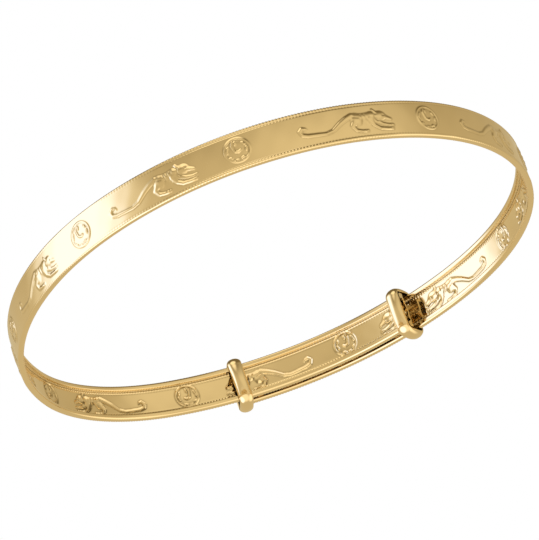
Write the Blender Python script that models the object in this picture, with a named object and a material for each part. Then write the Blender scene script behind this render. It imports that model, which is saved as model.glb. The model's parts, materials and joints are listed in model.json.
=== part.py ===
"""Expanding bangle: one sprung channel band whose two ends overlap, and a collar fixed on each end.

The band is drawn as a chain of seven arcs that meet tangent to each other. The first arc is the end of
the outer layer, the last is the end of the inner layer, and both are drawn about one centre, so that
one slides along the other. The sprung band bends at six lines, between the arcs.
Metres, +Z up. The ring's axis is +Z, and the overlap is at +Y.
"""

import math

import bmesh
import bpy
import numpy as np
from mathutils import Vector

MM = 0.001

# The band: a channel, open towards the wrist
WIDTH = 3.32 * MM  # from edge to edge, along the ring's axis
DEPTH = 0.52 * MM  # from the face to the inside of the folded edges
WEB = 0.22 * MM  # thickness of the sheet at the face
FOLD = 0.45 * MM  # height of each folded edge
CROWN = 0.04 * MM  # how far the middle of the face stands out
ROUND = 0.1 * MM  # at the corners of the folded edges

# The ring's shape: sweep and outer radius of each arc, from the outer end round to the inner end.
# The radii left as None follow from the two ends being about one centre.
OUTER_RADIUS = 25.8 * MM
LAYER_OFFSET = 1.25 * MM  # from the outer layer's face to the inner layer's face
START_ANGLE = math.radians(100.45)
ARCS = (
    ("band_outer_end", 55.7, OUTER_RADIUS),
    ("band_right_front", 52.4, None),
    ("band_right_rear", 52.2, 22.4 * MM),
    ("band_back", 81.6, 22.2 * MM),
    ("band_left_rear", 51.8, 26.2 * MM),
    ("band_left_front", 52.4, None),
    ("band_inner_end", 54.0, OUTER_RADIUS - LAYER_OFFSET),
)
ROOT_ARC = 3
NEUTRAL = DEPTH / 2  # the bending lines lie this far inside the face
SEGMENT_GAP = 0.3 * MM
STEP_ANGLE = math.radians(3.0)

# The collars: oblong loops of half-round wire that hold both layers
WIRE = 0.62 * MM  # thickness of the wire
WIRE_WIDTH = 1.25 * MM  # along the band
CLEARANCE = 0.15 * MM  # between the wire and the layers
CORNER = 0.35 * MM  # radius of the opening's corners
CORNER_POINTS = 5
WIRE_POINTS = 9

BASE = WIRE + CLEARANCE  # height of the band's lower edge
GOLD = (0.9, 0.72, 0.43, 1.0)


def direction(angle):
    return np.array((math.cos(angle), math.sin(angle)))


def ring_arcs():
    """Gives name, centre, radius, start and end angle of each arc, the two free radii solved."""
    ends = START_ANGLE - np.radians(np.cumsum([0.0] + [sweep for _, sweep, _ in ARCS]))
    radii = [radius for _, _, radius in ARCS]
    chords = [direction(ends[i + 1]) - direction(ends[i]) for i in range(len(ARCS))]
    gap = radii[-1] * direction(ends[-2]) - radii[0] * direction(ends[1])
    known = sum(radii[i] * chords[i] for i in range(1, len(ARCS) - 1) if radii[i])
    free = [i for i, radius in enumerate(radii) if radius is None]
    solved = np.linalg.solve(np.column_stack([chords[i] for i in free]), gap - known)
    for i, radius in zip(free, solved):
        radii[i] = float(radius)
    arcs = []
    centre = np.zeros(2)
    for i, (name, _, _) in enumerate(ARCS):
        if i:
            centre = centre + (radii[i - 1] - radii[i]) * direction(ends[i])
        arcs.append((name, Vector((*centre, 0.0)), radii[i], float(ends[i]), float(ends[i + 1])))
    return arcs


def gold_material(name):
    material = bpy.data.materials.new(name)
    material.use_nodes = True
    shader = material.node_tree.nodes["Principled BSDF"]
    shader.inputs["Base Color"].default_value = GOLD
    shader.inputs["Metallic"].default_value = 1.0
    shader.inputs["Roughness"].default_value = 0.15
    return material


def channel_outline():
    """The band's section as (distance out from the face, height over the lower edge)."""
    lower = [
        (-WEB, FOLD),
        (-DEPTH, FOLD),
        (-DEPTH, ROUND),
        (-DEPTH + ROUND, 0.0),
        (-ROUND, 0.0),
        (0.0, ROUND),
        (CROWN * 0.75, WIDTH / 4),
    ]
    upper = [(out, WIDTH - height) for out, height in reversed(lower)]
    return lower + [(CROWN, WIDTH / 2)] + upper


def add_band_segment(arc, parent, parts):
    """One stretch of the band, turned about its arc's centre and short of its neighbours."""
    name, centre, radius, start, end = arc
    trim = SEGMENT_GAP / 2 / radius
    first = start if name == "band_outer_end" else start - trim
    last = end if name == "band_inner_end" else end + trim
    mesh = bpy.data.meshes.new(name)
    bm = bmesh.new()
    outward = direction(first)
    corners = []
    for out, height in channel_outline():
        x, y = (radius + out) * outward
        corners.append(bm.verts.new((x, y, height)))
    section = bm.faces.new(corners)
    steps = math.ceil((first - last) / STEP_ANGLE)
    bmesh.ops.spin(
        bm,
        geom=[section, *section.edges, *section.verts],
        cent=(0.0, 0.0, 0.0),
        axis=(0.0, 0.0, 1.0),
        angle=last - first,
        steps=steps,
    )
    bmesh.ops.recalc_face_normals(bm, faces=bm.faces)
    bm.to_mesh(mesh)
    bm.free()
    mesh.materials.append(gold_material(name + "_gold"))
    mesh.shade_smooth()
    mesh.set_sharp_from_angle(angle=math.radians(40))
    segment = bpy.data.objects.new(name, mesh)
    segment.parent = parent
    segment.location = centre + Vector((0.0, 0.0, BASE)) - parent_place(parent)
    parts.objects.link(segment)


def parent_place(empty):
    """Where an empty stands, from the places of the empties above it."""
    place = Vector((0.0, 0.0, 0.0))
    while empty:
        place += empty.location
        empty = empty.parent
    return place


def add_empty(name, place, parent, parts):
    empty = bpy.data.objects.new(name, None)
    empty.empty_display_size = 2 * MM
    empty.parent = parent
    empty.location = place - parent_place(parent)
    parts.objects.link(empty)
    return empty


def closed_poly(name, points):
    curve = bpy.data.curves.new(name, "CURVE")
    curve.dimensions = "2D"
    spline = curve.splines.new("POLY")
    spline.points.add(len(points) - 1)
    for point, (x, y) in zip(spline.points, points):
        point.co = (x, y, 0.0, 1.0)
    spline.use_cyclic_u = True
    return curve


def wire_section():
    """Half-round wire as (inwards, along the band): flat at 0, round on its far side, clockwise."""
    points = []
    for i in range(WIRE_POINTS):
        angle = -math.pi / 2 + math.pi * i / (WIRE_POINTS - 1)
        inwards = -WIRE * (0.3 + 0.7 * math.cos(angle))
        points.append((inwards, WIRE_WIDTH / 2 * math.sin(angle)))
    flat = WIRE_WIDTH / 2 * 0.84
    return points + [(0.0, flat), (0.0, -flat)]


def opening_outline(half_depth, half_height):
    """The collar's opening: a rectangle with round corners, clockwise."""
    points = []
    for quarter, (x, y) in enumerate(((1, 1), (1, -1), (-1, -1), (-1, 1))):
        for i in range(CORNER_POINTS):
            angle = math.pi / 2 * (1 - quarter - i / (CORNER_POINTS - 1))
            points.append(
                (
                    x * (half_depth - CORNER) + CORNER * math.cos(angle),
                    y * (half_height - CORNER) + CORNER * math.sin(angle),
                )
            )
    return points


def add_collar(name, centre, angle, parent, parts, cutters):
    """A loop of wire round both layers, square to the band at this angle about the ends' centre."""
    inside = OUTER_RADIUS - LAYER_OFFSET - DEPTH - CLEARANCE
    outside = OUTER_RADIUS + CROWN + CLEARANCE
    half_depth = (outside - inside) / 2
    half_height = WIDTH / 2 + CLEARANCE
    section = bpy.data.objects.new(name + "_section", closed_poly(name + "_section", wire_section()))
    section.hide_render = True
    section.display_type = "WIRE"
    cutters.objects.link(section)
    curve = closed_poly(name, opening_outline(half_depth, half_height))
    curve.bevel_mode = "OBJECT"
    curve.bevel_object = section
    curve.materials.append(gold_material(name + "_gold"))
    curve.splines[0].use_smooth = True
    collar = bpy.data.objects.new(name, curve)
    x, y = (outside + inside) / 2 * direction(angle)
    collar.parent = parent
    collar.location = centre + Vector((x, y, BASE + WIDTH / 2)) - parent_place(parent)
    collar.rotation_euler = (math.pi / 2, 0.0, angle)
    parts.objects.link(collar)


def build():
    for thing in list(bpy.data.objects):
        bpy.data.objects.remove(thing)
    parts = bpy.data.collections.new("bangle")
    cutters = bpy.data.collections.new("sections")
    for collection in (parts, cutters):
        bpy.context.scene.collection.children.link(collection)

    arcs = ring_arcs()
    origin = add_empty("bangle_origin", Vector((0.0, 0.0, 0.0)), None, parts)
    bodies = {ROOT_ARC: origin}
    for side in (-1, 1):
        for i in range(ROOT_ARC + side, len(arcs) if side > 0 else -1, side):
            joined = arcs[i] if side > 0 else arcs[i + 1]
            reach = (joined[2] - NEUTRAL) * direction(joined[3])
            place = joined[1] + Vector((*reach, 0.0))
            bodies[i] = add_empty(arcs[i][0] + "_hinge", place, bodies[i - side], parts)
    for i, arc in enumerate(arcs):
        add_band_segment(arc, bodies[i], parts)

    last = len(arcs) - 1
    tuck = WIRE_WIDTH / 2 / OUTER_RADIUS  # each end of the band is flush with its collar
    add_collar("outer_collar", arcs[0][1], arcs[0][3] - tuck, bodies[0], parts, cutters)
    add_collar("inner_collar", arcs[last][1], arcs[last][4] + tuck, bodies[last], parts, cutters)

    # The origin goes to the middle of the object's own box, at its lowest point.
    bpy.context.view_layer.update()
    depsgraph = bpy.context.evaluated_depsgraph_get()
    corners = []
    for thing in parts.objects:
        if thing.type != "EMPTY":
            shape = thing.evaluated_get(depsgraph).to_mesh()
            corners += [thing.matrix_world @ vertex.co for vertex in shape.vertices]
            thing.evaluated_get(depsgraph).to_mesh_clear()
    low = Vector([min(corner[axis] for corner in corners) for axis in range(3)])
    high = Vector([max(corner[axis] for corner in corners) for axis in range(3)])
    origin.location = Vector((-(low.x + high.x) / 2, -(low.y + high.y) / 2, -low.z))


build()
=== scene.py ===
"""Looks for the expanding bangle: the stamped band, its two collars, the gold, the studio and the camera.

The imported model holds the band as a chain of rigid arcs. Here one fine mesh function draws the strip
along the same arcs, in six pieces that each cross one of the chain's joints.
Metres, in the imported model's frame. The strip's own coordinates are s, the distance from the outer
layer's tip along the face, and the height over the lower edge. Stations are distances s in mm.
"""

import json
import math

import bpy
import numpy as np
from mathutils import Matrix, Vector


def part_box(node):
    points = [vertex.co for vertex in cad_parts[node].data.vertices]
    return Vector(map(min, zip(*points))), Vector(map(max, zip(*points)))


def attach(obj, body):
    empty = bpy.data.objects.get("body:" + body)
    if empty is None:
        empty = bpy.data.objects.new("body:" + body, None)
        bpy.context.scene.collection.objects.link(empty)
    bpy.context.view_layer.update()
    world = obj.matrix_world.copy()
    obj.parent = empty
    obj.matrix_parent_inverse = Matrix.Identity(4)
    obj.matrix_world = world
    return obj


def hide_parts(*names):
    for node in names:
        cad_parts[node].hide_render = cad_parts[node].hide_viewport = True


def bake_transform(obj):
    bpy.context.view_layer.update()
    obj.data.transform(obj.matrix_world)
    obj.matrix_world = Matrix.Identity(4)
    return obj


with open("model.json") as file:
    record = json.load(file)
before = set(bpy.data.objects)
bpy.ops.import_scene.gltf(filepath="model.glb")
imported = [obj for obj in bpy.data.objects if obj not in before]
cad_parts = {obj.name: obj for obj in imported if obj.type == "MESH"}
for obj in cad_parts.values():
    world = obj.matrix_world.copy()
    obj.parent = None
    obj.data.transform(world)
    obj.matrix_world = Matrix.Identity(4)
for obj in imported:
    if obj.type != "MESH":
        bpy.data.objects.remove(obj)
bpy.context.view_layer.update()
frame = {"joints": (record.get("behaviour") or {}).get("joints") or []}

MM = 0.001

# The chain of arcs, as in the part: sweep and outer radius of each, from the outer tip to the inner tip
OUTER_RADIUS = 25.8 * MM
LAYER_OFFSET = 1.25 * MM
START_ANGLE = math.radians(100.45)
ARCS = (
    ("outer_end", 55.7, OUTER_RADIUS),
    ("right_front", 52.4, None),
    ("right_rear", 52.2, 22.4 * MM),
    ("back", 81.6, 22.2 * MM),
    ("left_rear", 51.8, 26.2 * MM),
    ("left_front", 52.4, None),
    ("inner_end", 54.0, OUTER_RADIUS - LAYER_OFFSET),
)

# The band's section
WIDTH = 3.32 * MM  # along the ring's axis
DEPTH = 0.52 * MM  # from the face to the inside of the folded edges
WEB = 0.2 * MM  # thickness of the sheet at the face
FOLD = 0.44 * MM  # height of each folded edge
CROWN = 0.04 * MM  # how far the middle of the face stands out
NEUTRAL = 0.26 * MM  # the joints lie this far inside the face
FACE_ROUND = 0.14 * MM  # where the face turns into the folded edge
WRIST_ROUND = 0.2 * MM  # where the folded edge turns towards the wrist
LIP_ROUND = 0.06 * MM  # at the free edge of the fold
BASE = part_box("band_back")[0].z  # height of the band's lower edge
WAVE = 0.005 * MM  # the unevenness that polishing leaves

# The mesh of the section is finer near the beads than in the middle
FACE_BEAD_ZONE = 0.52 * MM
INSIDE_BEAD_ZONE = 0.7 * MM
FACE, RIM, INSIDE = 1, 0, -1

# The strip's rows of beads
BEADS = 594  # in each row, over the strip's whole length
COLUMNS_PER_BEAD = 4
EDGE_BEAD = 0.045 * MM  # how far the beads at the edges rise
EDGE_DITCH = 0.05 * MM  # depth of the fine ditch beside them
INSIDE_BEAD = 0.05 * MM
INSIDE_DITCH = 0.04 * MM
# Middle and reach of the stretches where the edges' beads are polished away
WORN = ((98 * MM, 19 * MM), (57.5 * MM, 9.5 * MM))

# The stamped figures
BALL_STATIONS = (15.8, 31.0, 45.5, 60.9, 77.6, 92.6, 108.0, 123.1, 138.8, 153.8)
ANIMAL_OFFSET = 7.6  # mm from each ball to the animal after it
ANIMAL_SCALE = 1.12
ANIMAL_RELIEF = 0.46  # as high as the sliding collars allow
FIGURE_REACH = 4.6  # mm along the strip, each way from a figure's station
HOLLOW = 1.65  # how deep the figures are inside, for each mm that they stand out

# The strip's six pieces
SEAM_STATIONS = (33.0, 58.5, 80.1, 110.4, 125.6)
# How far each joint's bend reaches, in degrees of its two arcs: towards the outer tip, towards the inner tip
BENDS = ((7.4, 18.0), (21.0, 21.0), (18.0, 25.0), (25.0, 24.0), (21.0, 13.0), (20.0, 5.6))

# The collars
WIRE = 0.62 * MM  # thickness of the wire
WIRE_WIDTH = 1.25 * MM  # along the band
WIRE_EDGE = 0.06 * MM  # how far in from the wire's edges its flat side starts
WIRE_HOLLOW = 0.05 * MM  # of the wire's flat side
CLEARANCE = 0.15 * MM  # between the wire and the layers
CORNER = 0.35 * MM  # radius of the opening's corners
CORNER_WEAR = 0.4  # how much of the wire's thickness is gone at the corners

# The gold
GOLD = (0.91, 0.755, 0.49, 1.0)
WARM_GOLD = (0.9, 0.735, 0.46, 1.0)
# Painted shade: the dark colour the gold takes in crevices and close gaps
CREVICE_SHADE = (0.24, 0.175, 0.07, 1.0)

# The camera, about the middle of the ring
RING_MIDDLE = (1.617 * MM, 2.776 * MM)  # from the ends' common centre
RING_LEVEL = -1.59 * MM  # from the middle of the band's width
VIEW_DISTANCE = 340.7 * MM
VIEW_ELEVATION = math.radians(-24.27)
VIEW_ROLL = math.radians(-19.76)
VIEW_RIGHT = -0.075 * MM
VIEW_UP = 1.24 * MM
LENS = 272.8


def direction(angle):
    return np.array((math.cos(angle), math.sin(angle)))


class Chain:
    """The seven tangent arcs, and where a distance along the strip lies on them."""

    def __init__(self):
        sweeps = np.radians([sweep for _, sweep, _ in ARCS])
        turns = START_ANGLE - np.concatenate(([0.0], np.cumsum(sweeps)))
        radii = [radius for _, _, radius in ARCS]
        chords = [direction(turns[i + 1]) - direction(turns[i]) for i in range(len(ARCS))]
        gap = radii[-1] * direction(turns[-2]) - radii[0] * direction(turns[1])
        known = sum(radii[i] * chords[i] for i in range(1, len(ARCS) - 1) if radii[i])
        free = [i for i, radius in enumerate(radii) if radius is None]
        solved = np.linalg.solve(np.column_stack([chords[i] for i in free]), gap - known)
        for i, radius in zip(free, solved):
            radii[i] = float(radius)
        self.turns = turns
        self.radii = np.array(radii)
        centres = [np.zeros(2)]
        for i in range(1, len(ARCS)):
            centres.append(centres[-1] + (radii[i - 1] - radii[i]) * direction(turns[i]))
        self.centres = np.array(centres)
        self.knots = np.concatenate(([0.0], np.cumsum(self.radii * sweeps)))
        self.length = float(self.knots[-1])
        self.ends_centre = self.place_of_ends()
        self.centres += self.ends_centre

    def place_of_ends(self):
        """Where the ends' common centre lies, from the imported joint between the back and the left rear."""
        joint = next(j for j in frame["joints"] if j["name"] == "expand")
        in_chain = self.centres[4] + (self.radii[4] - NEUTRAL) * direction(self.turns[4])
        return np.array(joint["pos_m"][:2]) - in_chain

    def at(self, s):
        """Arc centres, radii and angles at the distances s."""
        arc = np.clip(np.searchsorted(self.knots, s, side="right") - 1, 0, len(ARCS) - 1)
        angle = self.turns[arc] - (s - self.knots[arc]) / self.radii[arc]
        return self.centres[arc], self.radii[arc], angle

    def point(self, s):
        """The place on the face's lower edge at the distance s."""
        centre, radius, angle = self.at(np.array([s]))
        x, y = centre[0] + radius[0] * direction(angle[0])
        return Vector((x, y, BASE))


chain = Chain()
PITCH = chain.length / BEADS


# ---- The section ----


def corner(out, height, radius, first, last, count):
    """Rows round one corner of the section, about a centre."""
    rows = []
    for angle in np.radians(np.linspace(first, last, count)):
        rows.append((out + radius * math.cos(angle), height + radius * math.sin(angle), angle, RIM))
    return rows


def section_rows():
    """The section's loop as arrays of out, height, slant and side. Slant is the direction that a rim's
    surface looks in. Side is FACE, RIM or INSIDE."""
    rows = []
    edge = np.linspace(FACE_ROUND, FACE_BEAD_ZONE, 9)
    middle = np.linspace(FACE_BEAD_ZONE, WIDTH - FACE_BEAD_ZONE, 34)
    for height in np.concatenate((edge, middle[1:-1], (WIDTH - edge)[::-1])):
        rows.append((0.0, height, 0.0, FACE))

    rows += corner(-FACE_ROUND, WIDTH - FACE_ROUND, FACE_ROUND, 0, 90, 5)[1:]
    rows += corner(-DEPTH + WRIST_ROUND, WIDTH - WRIST_ROUND, WRIST_ROUND, 90, 180, 8)
    for height in np.linspace(WIDTH - WRIST_ROUND, WIDTH - FOLD + LIP_ROUND, 4)[1:-1]:
        rows.append((-DEPTH, height, math.pi, RIM))
    rows += corner(-DEPTH + LIP_ROUND, WIDTH - FOLD + LIP_ROUND, LIP_ROUND, 180, 270, 5)

    rows.append((-WEB, WIDTH - FOLD, 0.0, INSIDE))
    edge = np.linspace(FOLD, INSIDE_BEAD_ZONE, 7)
    middle = np.linspace(INSIDE_BEAD_ZONE, WIDTH - INSIDE_BEAD_ZONE, 26)
    inside = np.concatenate((edge[1:], middle[1:-1], (WIDTH - edge)[::-1][:-1]))
    for height in inside[::-1]:
        rows.append((-WEB, height, 0.0, INSIDE))
    rows.append((-WEB, FOLD, 0.0, INSIDE))

    rows += corner(-DEPTH + LIP_ROUND, FOLD - LIP_ROUND, LIP_ROUND, 90, 180, 5)
    for height in np.linspace(FOLD - LIP_ROUND, WRIST_ROUND, 4)[1:-1]:
        rows.append((-DEPTH, height, math.pi, RIM))
    rows += corner(-DEPTH + WRIST_ROUND, WRIST_ROUND, WRIST_ROUND, 180, 270, 8)
    rows += corner(-FACE_ROUND, FACE_ROUND, FACE_ROUND, 270, 360, 5)[:-1]
    return [np.array(column) for column in zip(*rows)]


ROW_OUT, ROW_HEIGHT, ROW_SLANT, ROW_SIDE = section_rows()


# ---- Shapes of the stamped figures: signed distances in mm, x towards the head, y up ----


def stroke(x, y, points):
    """Distance to a chain of (x, y, half width) points, less the half width there."""
    nearest = np.full(x.shape, 1e3)
    for (ax, ay, ar), (bx, by, br) in zip(points, points[1:]):
        dx, dy = bx - ax, by - ay
        t = np.clip(((x - ax) * dx + (y - ay) * dy) / (dx * dx + dy * dy), 0, 1)
        distance = np.hypot(x - ax - t * dx, y - ay - t * dy) - (ar + t * (br - ar))
        nearest = np.minimum(nearest, distance)
    return nearest


def oval(x, y, cx, cy, rx, ry, turn):
    c, s = math.cos(math.radians(turn)), math.sin(math.radians(turn))
    u = ((x - cx) * c + (y - cy) * s) / rx
    v = ((y - cy) * c - (x - cx) * s) / ry
    return (np.hypot(u, v) - 1.0) * min(rx, ry)


def join(a, b, soft):
    """Smooth union of two signed distances."""
    h = np.clip(0.5 + 0.5 * (b - a) / soft, 0, 1)
    return b + (a - b) * h - soft * h * (1 - h)


def dome(distance, height, edge):
    """A raised shape with round edges: from 0 at its outline to its height at edge inside it."""
    t = np.clip(-distance / edge, 0, 1)
    return height * t * (2 - t)


def line(distance, height, half_width):
    return height * np.exp(-((distance / half_width) ** 2))


TAIL = (
    (-2.98, -0.08, 0.06), (-3.1, 0.08, 0.1), (-3.36, 0.14, 0.15), (-3.56, -0.08, 0.17),
    (-3.44, -0.38, 0.17), (-3.05, -0.52, 0.17), (-2.4, -0.58, 0.16), (-1.7, -0.64, 0.15),
    (-1.15, -0.5, 0.17), (-0.5, -0.04, 0.2), (0.05, 0.26, 0.22), (0.5, 0.42, 0.25),
)
TRUNK = ((0.75, 0.25, 0.38), (1.3, 0.24, 0.33), (1.95, 0.22, 0.4))
NECK = ((2.0, 0.3, 0.36), (2.6, 0.2, 0.34))
MUZZLE = ((2.95, 0.1, 0.27), (3.45, -0.12, 0.18))
EAR = ((2.4, 0.48, 0.13), (2.22, 0.78, 0.07))
FRONT_LEG = (
    (1.85, 0.0, 0.3), (2.05, -0.5, 0.17), (2.45, -0.8, 0.14), (3.1, -0.88, 0.14), (3.42, -0.86, 0.15),
)
FAR_LEG = ((2.2, -0.1, 0.26), (2.75, -0.45, 0.14), (3.2, -0.56, 0.12), (3.55, -0.58, 0.13))
HIND_LEG = ((0.75, 0.0, 0.34), (0.35, -0.4, 0.18), (0.55, -0.78, 0.14), (1.0, -0.9, 0.13), (1.4, -0.9, 0.14))
PAWS = ((3.45, -0.86), (3.55, -0.58), (1.42, -0.9))
EYE = (2.92, 0.24)
# Lines cut into the body, each with its depth and half width: jaw, mouth, shoulder, flank and hip
BODY_LINES = (
    (((2.34, 0.5, 0.0), (2.24, 0.12, 0.0), (2.4, -0.14, 0.0)), 0.08, 0.06),
    (((3.0, -0.12, 0.0), (3.5, -0.2, 0.0)), 0.08, 0.055),
    (((1.5, 0.42, 0.0), (1.56, 0.1, 0.0), (1.7, -0.3, 0.0)), 0.06, 0.06),
    (((1.2, 0.42, 0.0), (1.3, 0.1, 0.0), (1.16, -0.3, 0.0)), 0.06, 0.06),
    (((0.5, 0.32, 0.0), (0.92, 0.22, 0.0)), 0.04, 0.06),
)


def body(x, y):
    """A prowling long-tailed cat, raised, with its limbs and muscles drawn on it."""
    skull = oval(x, y, 2.72, 0.22, 0.5, 0.42, -14)
    head = join(join(skull, stroke(x, y, MUZZLE), 0.1), stroke(x, y, NECK), 0.12)
    shapes = (
        (stroke(x, y, TAIL), 0.13, 0.18),
        (stroke(x, y, TRUNK), 0.15, 0.36),
        (oval(x, y, 0.8, 0.08, 0.5, 0.6, 12), 0.2, 0.5),  # haunch
        (oval(x, y, 1.92, 0.06, 0.42, 0.56, -10), 0.19, 0.42),  # shoulder
        (stroke(x, y, FAR_LEG), 0.12, 0.14),
        (stroke(x, y, HIND_LEG), 0.17, 0.17),
        (stroke(x, y, FRONT_LEG), 0.18, 0.17),
        (head, 0.21, 0.4),
        (stroke(x, y, EAR), 0.19, 0.1),
    )
    height = np.max([dome(distance, rise, edge) for distance, rise, edge in shapes], axis=0)
    cuts = line(np.hypot(x - EYE[0], y - EYE[1]), 0.1, 0.085)
    for points, depth, half_width in BODY_LINES:
        cuts = np.maximum(cuts, line(stroke(x, y, points), depth, half_width))
    return ANIMAL_RELIEF * np.maximum(height - cuts, 0.25 * height)


def claws(x, y):
    """Short cuts between the toes at the three visible paws."""
    cuts = np.zeros(x.shape)
    for px, py in PAWS:
        for step in (-0.14, 0.0):
            cut = stroke(x, y, ((px + step, py + 0.1, 0.0), (px + step + 0.06, py - 0.12, 0.0)))
            cuts = np.maximum(cuts, line(cut, 0.05, 0.04))
    return cuts


def animal(x, y):
    x, y = x / ANIMAL_SCALE, y / ANIMAL_SCALE
    raised = body(x, y)
    return raised - claws(x, y) * (raised > 0.05)


# Curved seams and dots on the ball's disc
BALL_MARKS = (
    ((-0.2, 0.86, 0), (-0.34, 0.5, 0), (-0.28, 0.14, 0), (-0.2, -0.12, 0)),
    ((-0.2, -0.1, 0), (0.05, -0.22, 0), (0.24, -0.1, 0)),
    ((-0.04, 0.72, 0), (-0.08, 0.48, 0)),
    ((-0.72, 0.42, 0), (-0.86, 0.1, 0), (-0.84, -0.06, 0)),
    ((0.58, 0.5, 0), (0.68, 0.3, 0)),
    ((0.78, 0.05, 0), (0.7, -0.22, 0)),
    ((-0.72, -0.5, 0), (-0.6, -0.6, 0)),
    ((-0.3, -0.82, 0), (-0.1, -0.86, 0)),
    ((0.12, -0.82, 0), (0.32, -0.7, 0), (0.42, -0.76, 0)),
)


def ball(x, y):
    """A ring with a slightly domed disc in it, and marks on the disc."""
    radius = np.hypot(x, y)
    disc = dome(radius - 0.95, 0.03, 0.5)
    ring = line(radius - 1.02, 0.065, 0.07)
    marks = np.max([line(stroke(x, y, points), 0.075, 0.07) for points in BALL_MARKS], axis=0)
    return np.maximum(disc + marks, ring)


def pattern(s, height):
    """How far the stamped figures stand out of the face, in metres, over a grid of s by height."""
    raised = np.zeros((len(s), len(height)))
    y = (height - WIDTH / 2) / MM
    figures = [(station, ball) for station in BALL_STATIONS]
    figures += [(station + ANIMAL_OFFSET, animal) for station in BALL_STATIONS]
    figures.append((BALL_STATIONS[0] - ANIMAL_OFFSET, animal))
    for station, figure in figures:
        x = station - s / MM
        near = np.abs(x) < FIGURE_REACH
        if near.any():
            grid_x, grid_y = np.meshgrid(x[near], y, indexing="ij")
            raised[near] = np.maximum(raised[near], figure(grid_x, grid_y))
    return raised * MM


# ---- The strip ----


def beads_along(turn):
    """How far the beads rise, from 0.1 between two of them to 1, over turns of 2 pi a bead."""
    return 0.55 + 0.45 * np.cos(turn)


def bead_row(s, height, middle, half_height, rise, ditch, sides):
    """A row of beads along the strip. A fine ditch, deepest between beads, runs on the given sides of it.
    The rise and the ditch's depth are numbers, or arrays with one value for each s."""
    beads = beads_along(2 * math.pi * s / PITCH)
    across = (height - middle) / half_height
    profile = np.where(np.abs(across) < 1, np.cos(across * math.pi / 2) ** 2, 0.0)
    ditches = sum(np.exp(-(((across - 1.12 * side) / 0.3) ** 2)) for side in sides)
    return np.outer(rise * beads, profile) - np.outer(ditch * (1.1 - 0.8 * beads), ditches)


def waviness(s, height):
    """The slight unevenness that hand polishing leaves."""
    along, across = np.meshgrid(s / MM, height / MM, indexing="ij")
    wave = np.sin(along * 1.31 + across * 0.9) + 0.7 * np.sin(along * 2.17 - across * 1.6 + 1.0)
    wave += 0.4 * np.sin(along * 3.41 + across * 2.3 + 2.0)
    return wave * WAVE


def strip_grid(s):
    """Out and height at each row of the section, for each distance s."""
    outs = np.tile(ROW_OUT, (len(s), 1))
    heights = np.tile(ROW_HEIGHT, (len(s), 1))
    crown = CROWN * (1 - ((ROW_HEIGHT - WIDTH / 2) / (WIDTH / 2)) ** 2)
    worn = sum(np.exp(-(((s - middle) / reach) ** 4)) for middle, reach in WORN)
    worn = np.minimum(worn, 1.0)
    edge_bead = EDGE_BEAD * (1 - 0.8 * worn)
    edge_ditch = EDGE_DITCH * (1 - 0.85 * worn)

    face = ROW_SIDE == FACE
    z = ROW_HEIGHT[face]
    raised = pattern(s, z)
    for middle, side in ((FACE_ROUND, 1), (WIDTH - FACE_ROUND, -1)):
        raised = raised + bead_row(s, z, middle, 0.13 * MM, edge_bead, edge_ditch, (side,))
    outs[:, face] += crown[face] + raised + waviness(s, z)

    inside = ROW_SIDE == INSIDE
    z = ROW_HEIGHT[inside]
    hollow = HOLLOW * pattern(s, z)
    for middle in (FOLD + 0.13 * MM, WIDTH - FOLD - 0.13 * MM):
        hollow = hollow - bead_row(s, z, middle, 0.1 * MM, INSIDE_BEAD, INSIDE_DITCH, (-1, 1))
    from_fold = np.minimum(z, WIDTH - z) - FOLD
    clear_of_fold = np.clip(from_fold / (0.03 * MM), 0, 1)
    outs[:, inside] += crown[inside] + hollow * clear_of_fold + waviness(s, z)

    rim = ROW_SIDE == RIM
    slant = ROW_SLANT[rim]
    turn = 2 * math.pi * s[:, None] / PITCH + 1.2 * np.sin(slant)
    rope = edge_bead[:, None] * beads_along(turn) * np.clip(0.6 + np.cos(slant), 0, 1)
    outs[:, rim] += rope * np.cos(slant)
    heights[:, rim] += rope * np.sin(slant)
    return outs, heights


def crevices(outs):
    """How far each point of the face and the inside lies below the points round it, from 0 to 1. The gold
    paints shade darker by it.
    """
    around = np.zeros(outs.shape)
    for along in (-2, 0, 2):
        for across in (-2, 0, 2):
            around += np.roll(outs, (along, across), (0, 1)) / 9
    return np.clip((around - outs) / (0.05 * MM) - 0.12, 0, 1) * (ROW_SIDE != RIM)


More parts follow.
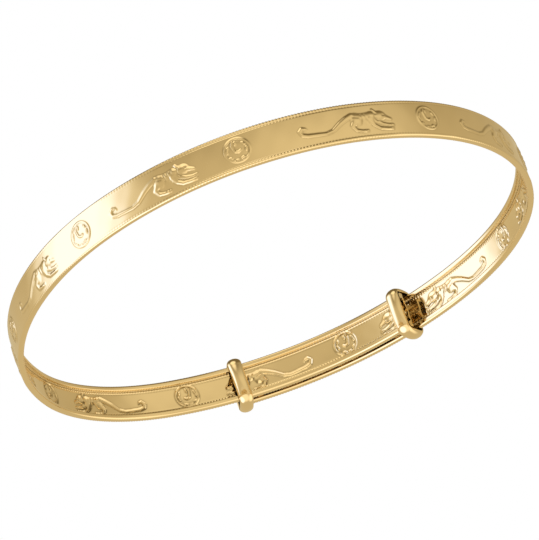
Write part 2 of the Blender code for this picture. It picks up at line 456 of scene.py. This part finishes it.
def strip_mesh(name, first_bead, last_bead):
    """The stretch of strip between two beads as one closed mesh."""
    spare = 2  # columns past each end, only for the crevices
    columns = np.arange(first_bead * COLUMNS_PER_BEAD - spare, last_bead * COLUMNS_PER_BEAD + 1 + spare)
    s = columns * (PITCH / COLUMNS_PER_BEAD)
    outs, heights = strip_grid(s)
    crevice = crevices(outs)[spare:-spare]
    s, outs, heights = s[spare:-spare], outs[spare:-spare], heights[spare:-spare]
    centre, radius, angle = chain.at(np.clip(s, 0.0, chain.length - 1e-9))
    reach = radius[:, None] + outs
    x = centre[:, 0:1] + reach * np.cos(angle)[:, None]
    y = centre[:, 1:2] + reach * np.sin(angle)[:, None]
    points = np.stack((x, y, BASE + heights), axis=-1).reshape(-1, 3)
    count, rows = outs.shape
    i, j = np.meshgrid(np.arange(count - 1), np.arange(rows), indexing="ij")
    after = (j + 1) % rows
    quads = np.stack((i * rows + j, (i + 1) * rows + j, (i + 1) * rows + after, i * rows + after), axis=-1)
    faces = quads.reshape(-1, 4)[:, ::-1].tolist()
    faces.append(list(range(rows)))
    faces.append([(count - 1) * rows + j for j in reversed(range(rows))])
    mesh = bpy.data.meshes.new(name)
    mesh.from_pydata(points.tolist(), [], faces)

    # The two end caps are flat, with sharp edges round them
    smooth = np.ones(len(faces), bool)
    smooth[-2:] = False
    mesh.polygons.foreach_set("use_smooth", smooth)
    ends = np.zeros(len(mesh.edges) * 2, np.int32)
    mesh.edges.foreach_get("vertices", ends)
    column = ends.reshape(-1, 2) // rows
    at_end = (column[:, 0] == column[:, 1]) & np.isin(column[:, 0], (0, count - 1))
    mesh.attributes.new("sharp_edge", "BOOLEAN", "EDGE").data.foreach_set("value", at_end)

    # For the gold: the strip's own coordinates, and how deep each point lies in a crevice, which sets its
    # painted shade
    strip = mesh.attributes.new("strip", "FLOAT_VECTOR", "POINT")
    values = np.stack((np.repeat(s, rows), heights.ravel(), crevice.ravel()), axis=-1)
    strip.data.foreach_set("vector", values.astype(np.float32).ravel())
    mesh.update()
    return mesh


def add_object(name, mesh, material):
    thing = bpy.data.objects.new(name, mesh)
    mesh.materials.append(material)
    bpy.context.scene.collection.objects.link(thing)
    return thing


def add_band(material):
    """Six pieces of strip. Each crosses one joint; the seams lie between two joints."""
    seams = [0] + [round(station * MM / PITCH) for station in SEAM_STATIONS] + [BEADS]
    for i, (before, after) in enumerate(BENDS):
        arc, next_arc = ARCS[i][0], ARCS[i + 1][0]
        name = "strip_" + arc + "_to_" + next_arc
        piece = add_object(name, strip_mesh(name, seams[i], seams[i + 1]), material)
        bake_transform(piece)
        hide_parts("band_" + next_arc)
        if i == 0:
            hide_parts("band_" + arc)


# ---- The collars ----


def collar_path(half_depth, half_height):
    """Points (depth, height, direction) round the opening, a rectangle with round corners."""
    path = []
    signs = ((1, 1), (-1, 1), (-1, -1), (1, -1))
    for quarter, (sx, sy) in enumerate(signs):
        for turn in np.linspace(quarter, quarter + 1, 14) * math.pi / 2:
            x = sx * (half_depth - CORNER) + CORNER * math.cos(turn)
            y = sy * (half_height - CORNER) + CORNER * math.sin(turn)
            path.append((x, y, turn))
        nx, ny = signs[(quarter + 1) % 4]
        shift = ((nx - sx) * (half_depth - CORNER), (ny - sy) * (half_height - CORNER))
        x, y, turn = path[-1]
        for t in np.linspace(0, 1, 26)[1:-1]:
            path.append((x + t * shift[0], y + t * shift[1], turn))
    return path


def wire_section():
    """Half-round wire as (outwards, along the band): its round side first, then its hollowed flat side."""
    section = []
    for turn in np.linspace(-math.pi / 2, math.pi / 2, 25):
        section.append((WIRE * (0.18 + 0.82 * math.cos(turn)), WIRE_WIDTH / 2 * math.sin(turn)))
    section.append((WIRE_HOLLOW + WIRE_EDGE * 0.4, WIRE_WIDTH / 2 - WIRE_EDGE * 0.3))
    section += [(WIRE_HOLLOW, t * (WIRE_WIDTH / 2 - WIRE_EDGE)) for t in (1, 0.5, 0, -0.5, -1)]
    section.append((WIRE_HOLLOW + WIRE_EDGE * 0.4, -WIRE_WIDTH / 2 + WIRE_EDGE * 0.3))
    return section


def collar_mesh(name, angle):
    """A loop of half-round wire, thickest at the middle of its sides, square to the band at this angle."""
    near = OUTER_RADIUS - LAYER_OFFSET - DEPTH - CLEARANCE
    far = OUTER_RADIUS + CROWN + CLEARANCE
    half_depth = (far - near) / 2
    half_height = WIDTH / 2 + CLEARANCE
    path = collar_path(half_depth, half_height)
    section = wire_section()
    x, y = chain.centres[0] + (far + near) / 2 * direction(angle)
    middle = np.array((x, y, BASE + WIDTH / 2))
    outward = np.array((math.cos(angle), math.sin(angle), 0.0))
    sideways = np.array((-math.sin(angle), math.cos(angle), 0.0))
    up = np.array((0.0, 0.0, 1.0))
    points = []
    for px, py, turn in path:
        left = 1 - CORNER_WEAR * (px / half_depth) ** 2 * (py / half_height) ** 2
        for out, along in section:
            x = px + out * left * math.cos(turn)
            y = py + out * left * math.sin(turn)
            points.append(middle + x * outward + y * up + along * sideways)
    count, rows = len(path), len(section)
    faces = []
    for i in range(count):
        for j in range(rows):
            a, b = (i + 1) % count, (j + 1) % rows
            faces.append((i * rows + j, i * rows + b, a * rows + b, a * rows + j))
    mesh = bpy.data.meshes.new(name)
    mesh.from_pydata([tuple(point) for point in points], [], faces)
    mesh.polygons.foreach_set("use_smooth", np.ones(len(faces), bool))
    mesh.update()
    return mesh


def add_collars(material):
    tuck = WIRE_WIDTH / 2 / OUTER_RADIUS  # each end of the band is flush with its collar
    for name, arc, angle in (
        ("outer_loop", "outer_end", chain.turns[0] - tuck),
        ("inner_loop", "inner_end", chain.turns[-1] + tuck),
    ):
        loop = add_object(name, collar_mesh(name, angle), material)
        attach(loop, arc)
        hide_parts(name.replace("loop", "collar"))


# ---- The gold ----


def new_node(tree, kind, **values):
    node = tree.nodes.new(kind)
    for key, value in values.items():
        if key in node.inputs:
            node.inputs[key].default_value = value
        else:
            setattr(node, key, value)
    return node


def mix_colours(tree, factor, first, second):
    """The socket that gives the mix of two colours, each of which is a socket or a fixed colour."""
    mix = new_node(tree, "ShaderNodeMix", data_type="RGBA")
    tree.links.new(factor, mix.inputs[0])
    for socket, colour in ((mix.inputs[6], first), (mix.inputs[7], second)):
        if isinstance(colour, tuple):
            socket.default_value = colour
        else:
            tree.links.new(colour, socket)
    return mix.outputs[2]


def remap(tree, value, limits, first, last, **values):
    """A value mapped to a new range, as a socket. Limits is "From" or "To", the range that is set."""
    node = new_node(tree, "ShaderNodeMapRange", **values)
    node.inputs[limits + " Min"].default_value = first
    node.inputs[limits + " Max"].default_value = last
    tree.links.new(value, node.inputs["Value"])
    return node.outputs["Result"]


def gold(name, polish):
    """Polished gold. Its colour drifts a little, fine marks vary its gloss, and shade is painted dark into
    crevices and close gaps.
    """
    material = bpy.data.materials.new(name)
    material.use_nodes = True
    tree = material.node_tree
    link = tree.links.new
    shader = tree.nodes["Principled BSDF"]
    shader.inputs["Metallic"].default_value = 1.0
    place = new_node(tree, "ShaderNodeTexCoord")
    drift = new_node(tree, "ShaderNodeTexNoise", Scale=260.0, Detail=3.0)
    link(place.outputs["Object"], drift.inputs["Vector"])
    tone = mix_colours(tree, drift.outputs["Fac"], GOLD, WARM_GOLD)

    # Painted shade: a dark colour mixed in, deep in the pattern's crevices and where other metal stands
    # close round the surface
    strip = new_node(tree, "ShaderNodeAttribute", attribute_name="strip")
    parts = new_node(tree, "ShaderNodeSeparateXYZ")
    link(strip.outputs["Vector"], parts.inputs["Vector"])
    occlusion_shade = new_node(tree, "ShaderNodeAmbientOcclusion", samples=8, Distance=0.0012)
    painted_shade = new_node(tree, "ShaderNodeMath", operation="MAXIMUM")
    link(parts.outputs["Z"], painted_shade.inputs[0])
    link(remap(tree, occlusion_shade.outputs["AO"], "From", 0.65, 0.15), painted_shade.inputs[1])
    link(mix_colours(tree, painted_shade.outputs["Value"], tone, CREVICE_SHADE), shader.inputs["Base Color"])

    fine = new_node(tree, "ShaderNodeTexNoise", Scale=2600.0, Detail=4.0)
    link(place.outputs["Object"], fine.inputs["Vector"])
    link(remap(tree, fine.outputs["Fac"], "To", polish, polish + 0.08), shader.inputs["Roughness"])
    bump = new_node(tree, "ShaderNodeBump", Strength=0.06, Distance=0.00001)
    link(fine.outputs["Fac"], bump.inputs["Height"])
    link(bump.outputs["Normal"], shader.inputs["Normal"])
    return material


# ---- Studio and camera ----


def add_floor():
    """A wide pale floor under the bangle, seen only from above."""
    bpy.ops.mesh.primitive_plane_add(size=3.0, location=(0.0, 0.0, 0.0))
    floor = bpy.context.object
    floor.name = "floor"
    material = bpy.data.materials.new("pale_floor")
    material.use_nodes = True
    tree = material.node_tree
    shader = tree.nodes["Principled BSDF"]
    shader.inputs["Base Color"].default_value = (0.86, 0.85, 0.83, 1.0)
    shader.inputs["Roughness"].default_value = 0.7
    clear = tree.nodes.new("ShaderNodeBsdfTransparent")
    side = tree.nodes.new("ShaderNodeNewGeometry")
    mix = tree.nodes.new("ShaderNodeMixShader")
    tree.links.new(side.outputs["Backfacing"], mix.inputs[0])
    tree.links.new(shader.outputs[0], mix.inputs[1])
    tree.links.new(clear.outputs[0], mix.inputs[2])
    tree.links.new(mix.outputs[0], tree.nodes["Material Output"].inputs["Surface"])
    floor.data.materials.append(material)
    floor.visible_glossy = False
    floor.visible_shadow = False


def compass(azimuth, elevation):
    a, e = math.radians(azimuth), math.radians(elevation)
    return (math.cos(a) * math.cos(e), math.sin(a) * math.cos(e), math.sin(e))


WHITE = (1.0, 1.0, 1.0, 1.0)
AMBIENT = (0.65, 0.545, 0.34, 1.0)
# What the gold mirrors: azimuth, elevation, half angles of a panel's full part and of its soft edge, colour.
# Each panel lies over the ones before it.
PANELS = (
    (15.0, 25.0, 20.0, 60.0, (0.57, 0.47, 0.28, 1.0)),
    (312.0, 30.0, 12.0, 42.0, (0.82, 0.7, 0.45, 1.0)),
    (0.0, 90.0, 34.0, 70.0, (0.2, 0.15, 0.07, 1.0)),
    (270.0, -38.0, 20.0, 52.0, (1.2, 1.04, 0.74, 1.0)),
    (212.0, -35.0, 18.0, 40.0, (1.6, 1.6, 1.65, 1.0)),
    (355.0, -32.0, 14.0, 42.0, (1.3, 1.14, 0.82, 1.0)),
    (265.0, 60.0, 11.0, 28.0, (1.3, 1.14, 0.8, 1.0)),
    (190.0, 26.0, 14.0, 41.0, (1.0, 0.92, 0.72, 1.0)),
    (188.0, 26.0, 10.0, 30.0, (1.4, 1.5, 1.8, 1.0)),
)


def add_world():
    """A white room for the floor and the backdrop, and large soft panels that only the gold mirrors."""
    world = bpy.data.worlds.new("studio")
    bpy.context.scene.world = world
    world.use_nodes = True
    world.cycles.sampling_method = "NONE"
    tree = world.node_tree
    place = new_node(tree, "ShaderNodeTexCoord")
    mirrored = AMBIENT
    for azimuth, elevation, full, edge, colour in PANELS:
        dot = new_node(tree, "ShaderNodeVectorMath", operation="DOT_PRODUCT")
        tree.links.new(place.outputs["Generated"], dot.inputs[0])
        dot.inputs[1].default_value = compass(azimuth, elevation)
        edge_cosine, full_cosine = math.cos(math.radians(edge)), math.cos(math.radians(full))
        dot_value = dot.outputs["Value"]
        soft = remap(tree, dot_value, "From", edge_cosine, full_cosine, interpolation_type="SMOOTHSTEP")
        mirrored = mix_colours(tree, soft, mirrored, colour)
    ray = new_node(tree, "ShaderNodeLightPath")
    shown = mix_colours(tree, ray.outputs["Is Glossy Ray"], WHITE, mirrored)
    tree.links.new(shown, tree.nodes["Background"].inputs["Color"])


def add_lamp():
    """One soft lamp overhead, for the floor. The gold does not mirror it."""
    lamp = bpy.data.lights.new("overhead", "AREA")
    lamp.shape = "DISK"
    lamp.size = 0.5
    lamp.energy = 1.2
    light = bpy.data.objects.new("overhead", lamp)
    light.location = (-0.15, -0.1, 0.6)
    light.rotation_euler = Vector(light.location).to_track_quat("Z", "Y").to_euler()
    bpy.context.scene.collection.objects.link(light)
    light.visible_glossy = False


def add_camera():
    """Looks up at the ring from the front, a little below it, turned about its own line of sight."""
    e, roll = VIEW_ELEVATION, VIEW_ROLL
    back = Vector((0.0, -math.cos(e), math.sin(e)))
    level = Vector((1.0, 0.0, 0.0))
    upright = back.cross(level)
    right = math.cos(roll) * level + math.sin(roll) * upright
    up = math.cos(roll) * upright - math.sin(roll) * level
    camera_data = bpy.data.cameras.new("camera")
    camera_data.lens = LENS
    camera = bpy.data.objects.new("camera", camera_data)
    turn = Matrix((right, up, back)).transposed().to_4x4()
    x, y = chain.ends_centre + np.array(RING_MIDDLE)
    middle = Vector((x, y, BASE + WIDTH / 2 + RING_LEVEL))
    place = middle + VIEW_DISTANCE * back + VIEW_RIGHT * right + VIEW_UP * up
    camera.matrix_world = Matrix.Translation(place) @ turn
    bpy.context.scene.collection.objects.link(camera)
    bpy.context.scene.camera = camera


add_band(gold("band_gold", 0.05))
add_collars(gold("collar_gold", 0.06))
add_floor()
add_world()
add_lamp()
add_camera()
bpy.context.scene.view_settings.view_transform = "Standard"
